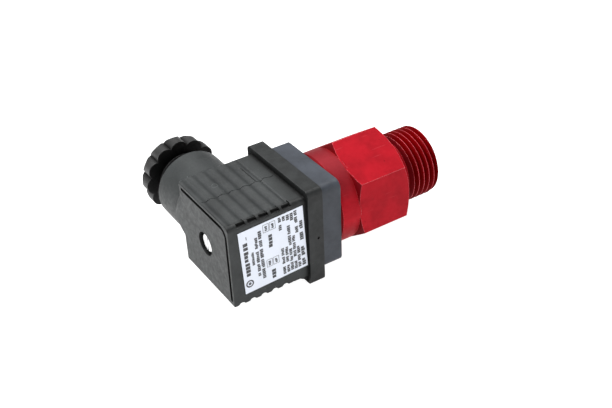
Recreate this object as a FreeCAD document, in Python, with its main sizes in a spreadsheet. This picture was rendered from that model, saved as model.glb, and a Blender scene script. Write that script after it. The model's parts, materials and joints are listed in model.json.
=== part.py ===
"""Pressure switch with a G 1/2 port, an internal snap switch and a plug-on cable connector.

Frame, in millimetres: X runs along the port axis and out through the thread, Y along the axis of the
cable gland, Z up. The origin is the centre of the sealing shoulder, the hexagon's face at the thread.
"""
import FreeCAD, Part
import math
import os
import Sketcher

THREAD = {
    "thread_radius": 10.4775,
    "thread_pitch": 1.8143,
    "thread_depth": 1.162,
    "thread_flat": 0.22,
    "thread_length": 14.0,
    "thread_lead_in": 0.9,
    "thread_lead_drop": 1.26,
    "undercut_length": 3.4,
    "undercut_radius": 9.15,
    "port_radius": 3.5,
    "port_countersink": 0.8,
}
SHELL = {
    "hex_length": 17.3,
    "hex_flats": 27.0,
    "hex_turn": 25.1,
    "hex_chamfer_radius": 13.4,
    "neck_length": 6.0,
    "neck_radius": 13.6,
    "neck_edge": 0.5,
    "chamber_radius": 9.6,
    "chamber_floor": 2.6,
}
SENSOR = {
    "part_radius": 9.5,
    "diaphragm_thickness": 0.8,
    "clamp_thickness": 2.2,
    "clamp_bore": 6.3,
    "piston_radius": 5.9,
    "piston_head": 1.8,
    "stem_radius": 1.6,
    "stem_end": 19.1,
    "spring_radius": 4.4,
    "spring_wire": 0.6,
    "spring_length": 8.0,
    "spring_turns": 4.0,
    "adjuster_thickness": 2.8,
    "adjuster_bore": 2.1,
    "adjuster_slot_width": 2.0,
    "adjuster_slot_depth": 0.9,
}
SNAP_SWITCH = {
    "case_front": 19.8,
    "case_length": 6.5,
    "case_half_width": 6.4,
    "case_half_height": 2.9,
    "case_wall": 0.8,
    "plunger_radius": 0.8,
    "plunger_length": 1.75,
    "plunger_stroke": 0.4,
    "bridge_half": 4.8,
    "bridge_thickness": 0.25,
    "bridge_half_height": 1.4,
    "tag_thickness": 0.4,
    "tag_half_height": 1.6,
    "tag_open_offset": 1.6,
    "foot_thickness": 0.2,
    "foot_reach": 2.0,
    "tag_end": 27.5,
    "lead_thickness": 0.5,
    "lead_half_width": 1.2,
}
BASE = {
    "base_length": 7.1,
    "base_half": 13.1,
    "base_far_width": 13.5,
    "base_low_height": 13.6,
    "base_corner": 2.2,
    "base_corner_far": 1.6,
    "base_front_wall": 2.0,
    "base_cavity_half": 10.6,
    "spigot_length": 3.8,
    "plate_half": 11.4,
    "plate_thickness": 2.0,
    "seal_radius": 11.6,
    "seal_wire": 0.75,
    "pin_offset": 9.0,
    "pin_thickness": 0.8,
    "pin_width": 6.3,
    "pin_reach": 9.1,
    "earth_strip_half": 1.5,
    "earth_strip_thickness": 1.0,
    "post_radius": 2.6,
    "post_reach": 3.6,
    "post_floor": 0.5,
}
CONNECTOR = {
    "flange_length": 4.6,
    "flange_half_width": 15.05,
    "flange_far_width": 15.8,
    "flange_half_height": 14.8,
    "flange_low_height": 15.7,
    "flange_corner": 1.5,
    "flange_corner_far": 1.4,
    "housing_length": 23.4,
    "housing_half_width": 14.0,
    "housing_half_height": 12.85,
    "housing_corner": 1.4,
    "housing_corner_far": 0.7,
    "housing_corner_low": 0.5,
    "face_edge": 0.35,
    "far_corner_depth": 1.2,
    "far_corner_length": 2.4,
    "end_wall": 2.0,
    "side_wall": 1.9,
    "wave_pitch": 3.4,
    "wave_count": 5.0,
    "wave_start": 1.4,
    "wave_depth": 0.3,
    "wave_depth_low": 0.9,
    "wave_rim": 12.7,
    "mould_line": 0.5,
    "mould_line_width": 0.2,
    "mould_line_swing": 0.3,
    "mould_line_depth": 0.16,
    "rim_slot_length": 2.6,
    "rim_slot_width": 0.95,
    "rim_slot_depth": 0.9,
    "rim_slot_inner": 12.9,
    "rim_slot_start": 2.8,
    "rim_notch_length": 1.2,
    "rim_notch_width": 0.28,
    "rim_notch_depth": 0.5,
    "cove_length": 4.0,
    "gate_mark_radius": 0.35,
    "gate_mark_x": 32.07,
    "gate_mark_z": -0.55,
    "face_groove_width": 1.05,
    "face_groove_depth": 0.8,
    "face_groove_inset": 0.9,
    "face_groove_corner": 3.2,
    "face_groove_far": 11.2,
    "face_groove_low": 11.0,
    "pad_length": 6.3,
    "pad_width": 8.2,
    "collar_axis": 47.7,
    "collar_radius": 10.7,
    "collar_end": 28.07,
    "collar_blend": 17.0,
    "blend_inset": 1.5,
    "blend_narrowing": 1.2,
    "gland_bore": 7.7,
    "gland_seat": 17.5,
    "cable_bore": 5.5,
    "screw_radius": 1.5,
    "screw_head_radius": 2.8,
    "screw_head_height": 2.0,
    "screw_head_depth": 0.7,
    "screw_slot": 0.5,
    "screw_slot_depth": 0.4,
    "clamp_slot": 0.7,
    "screw_well": 3.5,
    "screw_boss": 5.0,
    "screw_boss_length": 3.4,
    "screw_seal": 0.6,
    "screw_tip": 30.0,
    "screw_edge": 0.3,
    "screw_point": 0.5,
    "gasket_thickness": 1.5,
    "block_length": 11.0,
    "block_gap": 0.1,
    "contact_width": 7.3,
    "contact_thickness": 2.7,
    "contact_slot_depth": 7.6,
    "slot_play": 0.2,
    "post_play": 0.3,
    "clamp_head_radius": 1.9,
    "clamp_head_height": 1.6,
    "clamp_shank_radius": 1.0,
    "clamp_shank_length": 1.8,
    "label_start": 55.3,
    "label_length": 19.65,
    "label_bottom": 9.3,
    "label_height": 20.05,
    "label_thickness": 0.1,
    "label_turn": 2.4,
    "fit_gap": 0.05,
    "overshoot": 1.0,
}
GLAND = {
    "seal_length": 6.0,
    "seal_outer": 7.6,
    "seal_bore": 3.6,
    "washer_thickness": 0.8,
    "washer_outer": 7.5,
    "washer_bore": 4.6,
    "nut_shank_radius": 7.6,
    "nut_thread_depth": 0.6,
    "nut_thread_pitch": 1.41,
    "nut_bore": 4.4,
    "nut_head_start": 33.9,
    "nut_head_straight": 3.2,
    "nut_head_length": 5.8,
    "nut_edge": 0.5,
    "nut_shoulder": 0.6,
    "nut_shoulder_length": 1.2,
    "nut_face_radius": 9.0,
    "nut_bore_sink": 1.0,
    "nut_bore_flare": 1.5,
    "nut_lobes": 12.0,
    "lobe_centre": 8.77,
    "lobe_radius": 2.75,
}

X_AXIS = FreeCAD.Vector(1, 0, 0)
Y_AXIS = FreeCAD.Vector(0, 1, 0)
Z_AXIS = FreeCAD.Vector(0, 0, 1)
doc = FreeCAD.newDocument("PressureSwitch")
nodes = []


class Size:
    """A length with its value and the sheet expression that gives it."""

    def __init__(self, value, text):
        self.value = value
        self.text = text

    def join(self, other, sign, value):
        text = other.text if isinstance(other, Size) else repr(float(other))
        return Size(value, f"({self.text} {sign} {text})")

    def __add__(self, other):
        return self.join(other, "+", self.value + number(other))

    def __sub__(self, other):
        return self.join(other, "-", self.value - number(other))

    def __mul__(self, other):
        return self.join(other, "*", self.value * number(other))

    def __truediv__(self, other):
        return self.join(other, "/", self.value / number(other))

    def __neg__(self):
        return self * -1


def number(size):
    return size.value if isinstance(size, Size) else float(size)


def fill_sheet():
    """One row for each driving dimension: its name, its value and an alias of the same name."""
    sheet = doc.addObject("Spreadsheet::Sheet", "Dims")
    sizes = {}
    row = 1
    for group in (THREAD, SHELL, SENSOR, SNAP_SWITCH, BASE, CONNECTOR, GLAND):
        for name, value in group.items():
            sheet.set(f"A{row}", name)
            sheet.set(f"B{row}", str(value))
            sheet.setAlias(f"B{row}", name)
            sizes[name] = Size(value, "Dims." + name)
            row += 1
    doc.recompute()
    return sizes


size = fill_sheet()
zero = Size(0.0, "0")
beyond = size["overshoot"]
hex_back = -size["hex_length"]
neck_back = hex_back - size["neck_length"]
base_back = neck_back - size["base_length"]
flange_back = base_back - size["flange_length"]
end_face = flange_back - size["housing_length"]
chamber_floor = -size["chamber_floor"]
clamp_front = chamber_floor - size["diaphragm_thickness"]
spring_front = clamp_front - size["piston_head"]
adjuster_front = spring_front - size["spring_length"]
case_front = -size["case_front"]
case_back = case_front - size["case_length"]
plate_front = base_back + size["plate_thickness"]
bridge_front = -size["stem_end"] - size["fit_gap"] - size["plunger_length"]
tag_end = -size["tag_end"]
pin_tip = base_back - size["pin_reach"]
gasket_back = base_back - size["gasket_thickness"]
block_back = gasket_back - size["block_length"]
head_front = end_face + size["screw_head_depth"]
head_seat = head_front + size["screw_head_height"]
well_floor = head_seat + size["screw_seal"]
cavity_end = end_face + size["end_wall"]
collar_x = -size["collar_axis"]
washer_start = size["gland_seat"] + size["seal_length"]
shank_start = washer_start + size["washer_thickness"]


# ---- features -------------------------------------------------------------------------------------


def bind(item, prop, length):
    """Give a property its value, and its sheet expression if it has one."""
    if isinstance(length, Size):
        item.setExpression(prop, length.text)


def new_body(name):
    body = doc.addObject("PartDesign::Body", name)
    body.Label = name
    nodes.append(body)
    return body


def place(feature, corner, rotation=None):
    base = FreeCAD.Vector(*[number(c) for c in corner])
    feature.Placement = FreeCAD.Placement(base, rotation or FreeCAD.Rotation())
    for axis, length in zip("xyz", corner):
        bind(feature, f"Placement.Base.{axis}", length)


def box(body, kind, name, corner, lengths):
    """Add or cut a box that starts at a corner and has the given lengths along X, Y and Z."""
    feature = body.newObject(f"PartDesign::{kind}Box", name)
    for prop, length in zip(("Length", "Width", "Height"), lengths):
        setattr(feature, prop, number(length))
        bind(feature, prop, length)
    place(feature, corner)
    return feature


def rod(body, kind, name, start, direction, radius, length):
    """Add or cut a cylinder from a start point along an axis."""
    feature = body.newObject(f"PartDesign::{kind}Cylinder", name)
    feature.Radius = number(radius)
    feature.Height = number(length)
    bind(feature, "Radius", radius)
    bind(feature, "Height", length)
    place(feature, start, FreeCAD.Rotation(Z_AXIS, direction))
    return feature


def origin_plane(body, role):
    for feature in body.Origin.OriginFeatures:
        if feature.Role == role:
            return feature
    raise ValueError(role)


def new_sketch(body, name, role="XY_Plane"):
    sketch = body.newObject("Sketcher::SketchObject", name)
    sketch.AttachmentSupport = [(origin_plane(body, role), "")]
    sketch.MapMode = "FlatFace"
    return sketch


def hold(sketch, line, length, along):
    """Hold the first point of a line at a distance from the sketch's origin, or on its axis."""
    axis = {"X": -2, "Y": -1}[along]
    if number(length) == 0:
        sketch.addConstraint(Sketcher.Constraint("PointOnObject", line, 1, axis))
        return
    constraint = Sketcher.Constraint(f"Distance{along}", -1, 1, line, 1, number(length))
    index = sketch.addConstraint(constraint)
    bind(sketch, f"Constraints[{index}]", length)


def outline(sketch, corners):
    """A closed outline of straight lines whose corners are held by the sheet."""
    points = [FreeCAD.Vector(number(u), number(v), 0) for u, v in corners]
    count = len(points)
    lines = [Part.LineSegment(points[i], points[(i + 1) % count]) for i in range(count)]
    sketch.addGeometry(lines)
    for i, (u, v) in enumerate(corners):
        sketch.addConstraint(Sketcher.Constraint("Coincident", (i - 1) % count, 2, i, 1))
        hold(sketch, i, u, "X")
        hold(sketch, i, v, "Y")


def turn(body, kind, name, corners, about="H_Axis"):
    """Revolve an outline in the XY plane about the X axis (H_Axis) or the Y axis (V_Axis)."""
    sketch = new_sketch(body, name + "Sketch")
    outline(sketch, corners)
    feature = body.newObject(f"PartDesign::{kind}", name)
    feature.Profile = sketch
    feature.ReferenceAxis = (sketch, [about])
    feature.Angle = 360
    return feature


def ring_outline(start, end, inner, outer):
    return [(start, inner), (end, inner), (end, outer), (start, outer)]


def turned_ring(name, start, end, inner, outer):
    body = new_body(name)
    turn(body, "Revolution", "Ring" + name, ring_outline(start, end, inner, outer))
    return body


def edges_along(shape, direction, wanted=None):
    """The names of the straight edges along a direction whose middle point is wanted."""
    names = []
    for i, edge in enumerate(shape.Edges, 1):
        if edge.Curve.TypeId != "Part::GeomLine":
            continue
        if edge.tangentAt(edge.FirstParameter).cross(direction).Length > 1e-6:
            continue
        if wanted is None or wanted(edge.CenterOfMass):
            names.append(f"Edge{i}")
    return names


def round_edges(body, base, edges, radius, name="Round"):
    feature = body.newObject("PartDesign::Fillet", name)
    feature.Base = (base, edges)
    feature.Radius = number(radius)
    bind(feature, "Radius", radius)
    doc.recompute()
    return feature


# ---- pressure side --------------------------------------------------------------------------------


def hexagon(body):
    """The wrench hexagon, with the usual 30 degree chamfer on both ends."""
    sketch = new_sketch(body, "HexSketch", "YZ_Plane")
    reach = number(size["hex_flats"]) / math.sqrt(3)
    turn_angle = math.radians(number(size["hex_turn"]))
    corners = []
    for i in range(6):
        angle = turn_angle + i * math.pi / 3
        corners.append(FreeCAD.Vector(reach * math.cos(angle), reach * math.sin(angle), 0))
    sides = [Part.LineSegment(corners[i], corners[(i + 1) % 6]) for i in range(6)]
    sketch.addGeometry(sides)
    circle = Part.Circle(FreeCAD.Vector(), Z_AXIS, reach)
    sketch.addGeometry(circle, True)
    for i in range(6):
        sketch.addConstraint(Sketcher.Constraint("Coincident", (i - 1) % 6, 2, i, 1))
        sketch.addConstraint(Sketcher.Constraint("PointOnObject", i, 1, 6))
    for i in range(5):
        sketch.addConstraint(Sketcher.Constraint("Equal", i, i + 1))
    sketch.addConstraint(Sketcher.Constraint("Coincident", 6, 3, -1, 1))
    index = sketch.addConstraint(Sketcher.Constraint("Radius", 6, reach))
    sketch.setExpression(f"Constraints[{index}]", "Dims.hex_flats / sqrt(3)")
    height = corners[0].y
    index = sketch.addConstraint(Sketcher.Constraint("DistanceY", -1, 1, 0, 1, height))
    sketch.setExpression(f"Constraints[{index}]", "Dims.hex_flats / sqrt(3) * sin(Dims.hex_turn * 1 deg)")
    pad = body.newObject("PartDesign::Pad", "Hex")
    pad.Profile = sketch
    pad.Length = number(size["hex_length"])
    pad.Reversed = True
    bind(pad, "Length", size["hex_length"])
    doc.recompute()
    over = size["hex_flats"] / math.sqrt(3) + beyond
    rise = (over - size["hex_chamfer_radius"]) * math.tan(math.radians(30))
    inner = size["hex_chamfer_radius"]
    turn(body, "Groove", "PortChamfer", [(0, inner), (-rise, over), (0, over)])
    turn(body, "Groove", "NeckChamfer", [(hex_back, inner), (hex_back + rise, over), (hex_back, over)])


def cut_thread(body, pitch, depth, radius, flat, start, length, axis):
    """Cut a helical groove with 55 degree sides, as deep as the thread."""
    width = pitch - flat
    if axis == "H_Axis":
        across = [(start - width / 2, radius), (start + width / 2, radius)]
        inside = [(start + flat / 2, radius - depth), (start - flat / 2, radius - depth)]
    else:
        across = [(radius, start - width / 2), (radius, start + width / 2)]
        inside = [(radius - depth, start + flat / 2), (radius - depth, start - flat / 2)]
    sketch = new_sketch(body, "ThreadSketch")
    outline(sketch, across + inside)
    helix = body.newObject("PartDesign::SubtractiveHelix", "Thread")
    helix.Profile = sketch
    helix.ReferenceAxis = (sketch, [axis])
    helix.Mode = 0
    helix.Pitch = number(pitch)
    helix.Height = number(length)
    bind(helix, "Pitch", pitch)
    bind(helix, "Height", length)
    helix.Angle = 0
    return helix


def make_port_body():
    """Anodised body: neck, hexagon and threaded port, bored out for the sensing parts."""
    body = new_body("port_body")
    hexagon(body)
    edge = size["neck_edge"]
    turn(body, "Revolution", "Neck", [
        (neck_back, 0),
        (neck_back, size["neck_radius"] - edge),
        (neck_back + edge, size["neck_radius"]),
        (hex_back + edge, size["neck_radius"]),
        (hex_back + edge, 0),
    ])
    length = size["thread_length"]
    radius = size["thread_radius"]
    lead_in = size["thread_lead_in"]
    turn(body, "Revolution", "Stub", [
        (-edge, 0),
        (-edge, size["undercut_radius"]),
        (size["undercut_length"], size["undercut_radius"]),
        (size["undercut_length"] + lead_in, radius),
        (length - lead_in, radius),
        (length, radius - size["thread_lead_drop"]),
        (length, 0),
    ])
    start = size["undercut_length"] - size["thread_pitch"] / 2
    travel = length - size["undercut_length"] + size["thread_pitch"] * 1.5
    cut_thread(body, size["thread_pitch"], size["thread_depth"], radius, size["thread_flat"],
               start, travel, "H_Axis")
    sink = size["port_countersink"]
    turn(body, "Groove", "Bore", [
        (neck_back - beyond, 0),
        (neck_back - beyond, size["chamber_radius"]),
        (chamber_floor, size["chamber_radius"]),
        (chamber_floor, size["port_radius"]),
        (length - sink, size["port_radius"]),
        (length + edge, size["port_radius"] + sink + edge),
        (length + edge, 0),
    ])


def make_sensing_parts():
    """Diaphragm, its clamp ring, the piston with its stem, and the adjusting ring behind the spring."""
    turned_ring("diaphragm", clamp_front, chamber_floor, 0, size["part_radius"])
    clamp_back = clamp_front - size["clamp_thickness"]
    turned_ring("clamp_ring", clamp_back, clamp_front, size["clamp_bore"], size["part_radius"])
    piston = new_body("piston")
    gap = size["fit_gap"]
    turn(piston, "Revolution", "Piston", [
        (clamp_front - gap, 0),
        (clamp_front - gap, size["piston_radius"]),
        (spring_front, size["piston_radius"]),
        (spring_front, size["stem_radius"]),
        (-size["stem_end"], size["stem_radius"]),
        (-size["stem_end"], 0),
    ])
    ring_back = adjuster_front - size["adjuster_thickness"]
    ring = turned_ring("adjusting_ring", ring_back, adjuster_front, size["adjuster_bore"],
                       size["part_radius"])
    reach = size["part_radius"] + 1
    half = size["adjuster_slot_width"] / 2
    box(ring, "Subtractive", "DriverSlot", (ring_back, -half, -reach),
        (size["adjuster_slot_depth"], half * 2, reach * 2))


def make_spring():
    """Round-wire compression spring between the piston and the adjusting ring."""
    wire = number(size["spring_wire"])
    mean = number(size["spring_radius"])
    height = number(size["spring_length"]) - 2 * wire
    pitch = height / number(size["spring_turns"])
    helix = Part.makeHelix(pitch, height, mean)
    section = Part.Wire(Part.makeCircle(wire, FreeCAD.Vector(mean, 0, 0), Y_AXIS))
    coil = Part.Wire(helix).makePipeShell([section], True, True)
    spring = doc.addObject("Part::Feature", "range_spring")
    spring.Label = "range_spring"
    spring.Shape = coil
    spring.Placement = FreeCAD.Placement(
        FreeCAD.Vector(number(adjuster_front) + wire, 0, 0), FreeCAD.Rotation(Z_AXIS, X_AXIS))
    nodes.append(spring)


# ---- snap switch ----------------------------------------------------------------------------------


def make_switch_case():
    """Case of the snap switch, open on its +Z side, and its lid."""
    wall = size["case_wall"]
    half_width = size["case_half_width"]
    half_height = size["case_half_height"]
    case = new_body("switch_case")
    box(case, "Additive", "Case", (case_back, -half_width, -half_height),
        (size["case_length"], half_width * 2, half_height * 2 - wall))
    box(case, "Subtractive", "Inside", (case_back + wall, -half_width + wall, -half_height + wall),
        (size["case_length"] - wall * 2, half_width * 2 - wall * 2, half_height * 2))
    rod(case, "Subtractive", "PlungerHole", (case_front - wall * 2, 0, 0), X_AXIS,
        size["plunger_radius"] + size["fit_gap"], wall * 3)
    slot = size["tag_half_height"]
    for name, y in tag_places():
        box(case, "Subtractive", "Slot" + name, (case_back - wall, y, -slot),
            (wall * 3, size["tag_thickness"], slot * 2))
    lid = new_body("switch_lid")
    box(lid, "Additive", "Lid", (case_back, -half_width, half_height - wall),
        (size["case_length"], half_width * 2, wall))


def tag_places():
    """Where the common, open and closed contact tags stand along Y, at their lower side."""
    thickness = size["tag_thickness"]
    end_gap = size["fit_gap"] * 2
    return (
        ("common", -size["bridge_half"] - thickness - end_gap),
        ("open", size["tag_open_offset"]),
        ("closed", size["bridge_half"] + end_gap),
    )


def make_switch_tags():
    """Three contact tags; the open and closed ones each have a foot beside the moving bridge."""
    thickness = size["tag_thickness"]
    half = size["tag_half_height"]
    foot = size["foot_thickness"]
    reach = size["foot_reach"]
    closed_front = bridge_front + size["fit_gap"] + foot
    open_front = bridge_front - size["bridge_thickness"] - size["plunger_stroke"] - size["fit_gap"]
    front = {"common": bridge_front, "open": open_front, "closed": closed_front}
    for name, y in tag_places():
        tag = new_body("tag_" + name)
        box(tag, "Additive", "Tag", (tag_end, y, -half), (front[name] - tag_end, thickness, half * 2))
        if name == "open":
            box(tag, "Additive", "Foot", (open_front - foot, y, -half), (foot, thickness + reach, half * 2))
        if name == "closed":
            box(tag, "Additive", "Foot", (bridge_front + size["fit_gap"], y - reach, -half),
                (foot, thickness + reach, half * 2))


def make_plunger_and_bridge():
    """Plunger of the snap switch, and the contact bridge fixed to its inner end."""
    plunger = new_body("plunger")
    rod(plunger, "Additive", "Plunger", (bridge_front, 0, 0), X_AXIS, size["plunger_radius"],
        size["plunger_length"])
    bridge = new_body("contact_bridge")
    half_width = size["bridge_half"]
    half = size["bridge_half_height"]
    box(bridge, "Additive", "Bridge", (bridge_front - size["bridge_thickness"], -half_width, -half),
        (size["bridge_thickness"], half_width * 2, half * 2))


def make_leads():
    """Flat leads from the contact tags to the connector pins."""
    thickness = size["lead_thickness"]
    width = size["lead_half_width"] * 2
    pin_inner = size["pin_offset"] - size["pin_thickness"] / 2
    y = dict(tag_places())
    common = new_body("lead_common")
    box(common, "Additive", "Lead", (tag_end, -pin_inner, -width / 2),
        (thickness, y["common"] + pin_inner, width))
    closed = new_body("lead_closed")
    closed_outer = y["closed"] + size["tag_thickness"]
    box(closed, "Additive", "Lead", (tag_end, closed_outer, -width / 2),
        (thickness, pin_inner - closed_outer, width))
    opened = new_body("lead_open")
    box(opened, "Additive", "Lead", (tag_end, y["open"] - width / 2, size["tag_half_height"]),
        (thickness, width, pin_inner - size["tag_half_height"]))


# ---- base and its pins ----------------------------------------------------------------------------


def pin_places():
    """Name and place of the four flat pins; the flag tells whether the blade lies across Y."""
    offset = size["pin_offset"]
    return (("1", -offset, zero, False), ("2", offset, zero, False), ("3", zero, offset, True),
            ("earth", zero, -offset, True))


def blade_box(body, kind, name, start, length, y, z, across, width, thickness):
    """A flat box along X whose broad side faces the axis."""
    along_y, along_z = (width, thickness) if across else (thickness, width)
    box(body, kind, name, (start, y - along_y / 2, z - along_z / 2), (length, along_y, along_z))


def make_base():
    """Square moulded base with a round spigot that holds the snap switch inside the neck."""
    body = new_body("base")
    half, far, low = size["base_half"], size["base_far_width"], size["base_low_height"]
    block = box(body, "Additive", "Block", (base_back, -half, -low),
                (size["base_length"], half + far, half + low))
    doc.recompute()
    near = round_edges(body, block, edges_along(block.Shape, X_AXIS, lambda p: p.y < 0),
                       size["base_corner"])
    round_edges(body, near, edges_along(near.Shape, X_AXIS, lambda p: p.y > number(far) - 1e-6),
                size["base_corner_far"], "RoundFar")
    rod(body, "Additive", "Spigot", (neck_back - beyond, 0, 0), X_AXIS, size["part_radius"],
        size["spigot_length"] + beyond)
    cavity = size["base_cavity_half"]
    cavity_length = size["base_length"] - size["base_front_wall"] + beyond
    box(body, "Subtractive", "Cavity", (base_back - beyond, -cavity, -cavity),
        (cavity_length, cavity * 2, cavity * 2))
    inner = neck_back - size["base_front_wall"]
    plate = size["plate_half"]
    box(body, "Subtractive", "PlateSeat", (base_back - beyond, -plate, -plate),
        (size["plate_thickness"] + beyond, plate * 2, plate * 2))
    box(body, "Subtractive", "SwitchPocket",
        (inner - beyond, -size["case_half_width"], -size["case_half_height"]),
        (size["spigot_length"] + size["base_front_wall"] + beyond * 2, size["case_half_width"] * 2,
         size["case_half_height"] * 2))
    strip = size["earth_strip_half"]
    box(body, "Subtractive", "StripSlot", (inner - beyond, -strip, earth_z()),
        (size["base_front_wall"] + beyond, strip * 2, size["earth_strip_thickness"]))
    wire = size["seal_wire"]
    mean = size["seal_radius"]
    turn(body, "Groove", "SealGroove",
         ring_outline(neck_back - wire * 2, neck_back + wire, mean - wire, mean + wire))


def earth_z():
    """The lower side of the earth strip, which lies against the outside of the earth pin."""
    return -size["pin_offset"] - size["pin_thickness"] / 2 - size["earth_strip_thickness"]


def make_base_seal():
    seal = doc.addObject("Part::Torus", "base_seal")
    seal.Label = "base_seal"
    bind(seal, "Radius1", size["seal_radius"])
    bind(seal, "Radius2", size["seal_wire"])
    place(seal, (neck_back - size["seal_wire"], 0, 0), FreeCAD.Rotation(Z_AXIS, X_AXIS))
    nodes.append(seal)


def make_terminal_plate():
    body = new_body("terminal_plate")
    half = size["plate_half"]
    box(body, "Additive", "Plate", (base_back, -half, -half),
        (size["plate_thickness"], half * 2, half * 2))
    for name, y, z, across in pin_places():
        blade_box(body, "Subtractive", "Slot" + name, base_back - beyond, size["plate_thickness"] + beyond * 2,
                  y, z, across, size["pin_width"], size["pin_thickness"])
    rod(body, "Subtractive", "PostHole", (base_back - beyond, 0, 0), X_AXIS, size["post_radius"],
        size["plate_thickness"] + beyond * 2)


def make_pins():
    """Three flat contact pins and the earth pin, with the strip that ties it to the metal body."""
    for name, y, z, across in pin_places():
        pin = new_body("pin_" + name)
        blade_box(pin, "Additive", "Pin", pin_tip, tag_end - pin_tip, y, z, across,
                  size["pin_width"], size["pin_thickness"])
    strip = new_body("earth_strip")
    half = size["earth_strip_half"]
    box(strip, "Additive", "Strip", (tag_end, -half, earth_z()),
        (neck_back - tag_end, half * 2, size["earth_strip_thickness"]))


def make_post():
    """Threaded brass post in the middle of the plate, which takes the connector's screw."""
    bore = size["screw_radius"] + size["fit_gap"]
    front = base_back - size["post_reach"]
    body = new_body("threaded_post")
    turn(body, "Revolution", "Post", [
        (front, bore),
        (front, size["post_radius"]),
        (plate_front, size["post_radius"]),
        (plate_front, 0),
        (plate_front - size["post_floor"], 0),
        (plate_front - size["post_floor"], bore),
    ])


# ---- cable connector ------------------------------------------------------------------------------


def make_housing_shell(body):
    """The closed outer form: housing, flange and the round collar for the gland."""
    half_width = size["housing_half_width"]
    half_height = size["housing_half_height"]
    shell = box(body, "Additive", "Shell", (end_face, -half_width, -half_height),
                (size["housing_length"], half_width * 2, half_height * 2))
    doc.recompute()
    rounded = round_edges(body, shell, edges_along(shell.Shape, X_AXIS, lambda p: p.y > 0),
                          size["housing_corner_far"], "ShellRoundFar")
    rounded = round_edges(body, rounded, edges_along(rounded.Shape, X_AXIS, on_label_corner(1)),
                          size["housing_corner"], "ShellRoundTop")
    rounded = round_edges(body, rounded, edges_along(rounded.Shape, X_AXIS, on_label_corner(-1)),
                          size["housing_corner_low"], "ShellRoundLow")
    rounded = cut_far_corner(body)
    at_end = number(end_face)
    rim = [f"Edge{i}" for i, e in enumerate(rounded.Shape.Edges, 1)
           if all(abs(v.X - at_end) < 1e-6 for v in e.Vertexes)]
    round_edges(body, rounded, rim, size["face_edge"], "FaceRound")
    blend(body)
    rod(body, "Additive", "Collar", (collar_x, 0, 0), Y_AXIS, size["collar_radius"], size["collar_end"])
    make_cove(body)
    make_flange(body)


def cut_far_corner(body):
    """The slanted corner between the end face and the gland's side."""
    far = size["housing_half_width"]
    sketch = new_sketch(body, "FarCornerSketch")
    outline(sketch, [
        (end_face - beyond, far - size["far_corner_depth"]),
        (end_face, far - size["far_corner_depth"]),
        (end_face + size["far_corner_length"], far),
        (end_face + size["far_corner_length"], far + beyond),
        (end_face - beyond, far + beyond),
    ])
    pocket = body.newObject("PartDesign::Pocket", "FarCorner")
    pocket.Profile = sketch
    pocket.Midplane = True
    height = (size["housing_half_height"] + beyond) * 2
    pocket.Length = number(height)
    bind(pocket, "Length", height)
    doc.recompute()
    return pocket


def on_label_corner(side):
    """Picks the housing's long edge on the label's side, at its top (1) or bottom (-1)."""
    width = number(size["housing_half_width"])
    height = number(size["housing_half_height"])
    return lambda p: abs(p.y + width) < 1e-6 and abs(p.z - height * side) < 1e-6


def make_flange(body):
    """The flange stands out a little more at the gland's side and below."""
    near, far = size["flange_half_width"], size["flange_far_width"]
    top, low = size["flange_half_height"], size["flange_low_height"]
    flange = box(body, "Additive", "Flange", (flange_back, -near, -low),
                 (size["flange_length"], near + far, top + low))
    doc.recompute()
    heights = (number(top), -number(low))
    for name, side, radius in (("Near", -near, "flange_corner"), ("Far", far, "flange_corner_far")):
        corners = edges_along(flange.Shape, X_AXIS, lambda p: abs(p.y - number(side)) < 1e-6
                              and min(abs(p.z - z) for z in heights) < 1e-6)
        flange = round_edges(body, flange, corners, size[radius], "FlangeRound" + name)


def make_cove(body):
    """The hollow slope that runs from the housing's underside down to the flange."""
    foot = -size["housing_half_height"]
    drop = size["flange_low_height"] - size["housing_half_height"]
    length = size["cove_length"]
    # The curve's corners, as shares of the cove's length back and of its drop.
    steps = ((0.0, 0.96), (0.14, 0.62), (0.34, 0.3), (0.62, 0.08), (1.0, 0.0))
    sketch = new_sketch(body, "CoveSketch", "XZ_Plane")
    outline(sketch, [
        (flange_back - length, foot + drop / 2),
        (flange_back + drop / 2, foot + drop / 2),
        (flange_back + drop / 2, foot - drop * steps[0][1]),
    ] + [(flange_back - length * back, foot - drop * down) for back, down in steps])
    pad = body.newObject("PartDesign::Pad", "Cove")
    pad.Profile = sketch
    pad.Midplane = True
    width = (size["housing_half_width"] - size["housing_corner_low"]) * 2
    pad.Length = number(width)
    bind(pad, "Length", width)


def blend(body):
    """The slope from the square housing to the round collar, cut flush with the end face."""
    sketch = new_sketch(body, "BlendSketch")
    near = size["housing_half_width"] - size["blend_inset"]
    wide = size["housing_half_height"]
    outline(sketch, [
        (collar_x, near),
        (collar_x + wide - size["blend_narrowing"], near),
        (collar_x + size["collar_radius"], size["collar_blend"]),
        (collar_x, size["collar_blend"]),
    ])
    feature = body.newObject("PartDesign::Revolution", "Blend")
    feature.Profile = sketch
    feature.ReferenceAxis = (sketch, ["Edge4"])
    feature.Angle = 360
    over = size["collar_radius"]
    box(body, "Subtractive", "BlendTrim", (end_face - over, -size["housing_half_width"], -over),
        (over, size["housing_half_width"] + size["collar_blend"], over * 2))


def cut_waves(body):
    """Smooth grip waves across the top, up to the rim at the label, and across the underside."""
    far = size["housing_half_width"] + beyond
    rim = size["wave_rim"]
    wave_pocket(body, "TopWaves", 1, size["wave_depth"], far - rim, far + rim)
    wave_pocket(body, "LowWaves", -1, size["wave_depth_low"], zero, far * 2)


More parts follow.
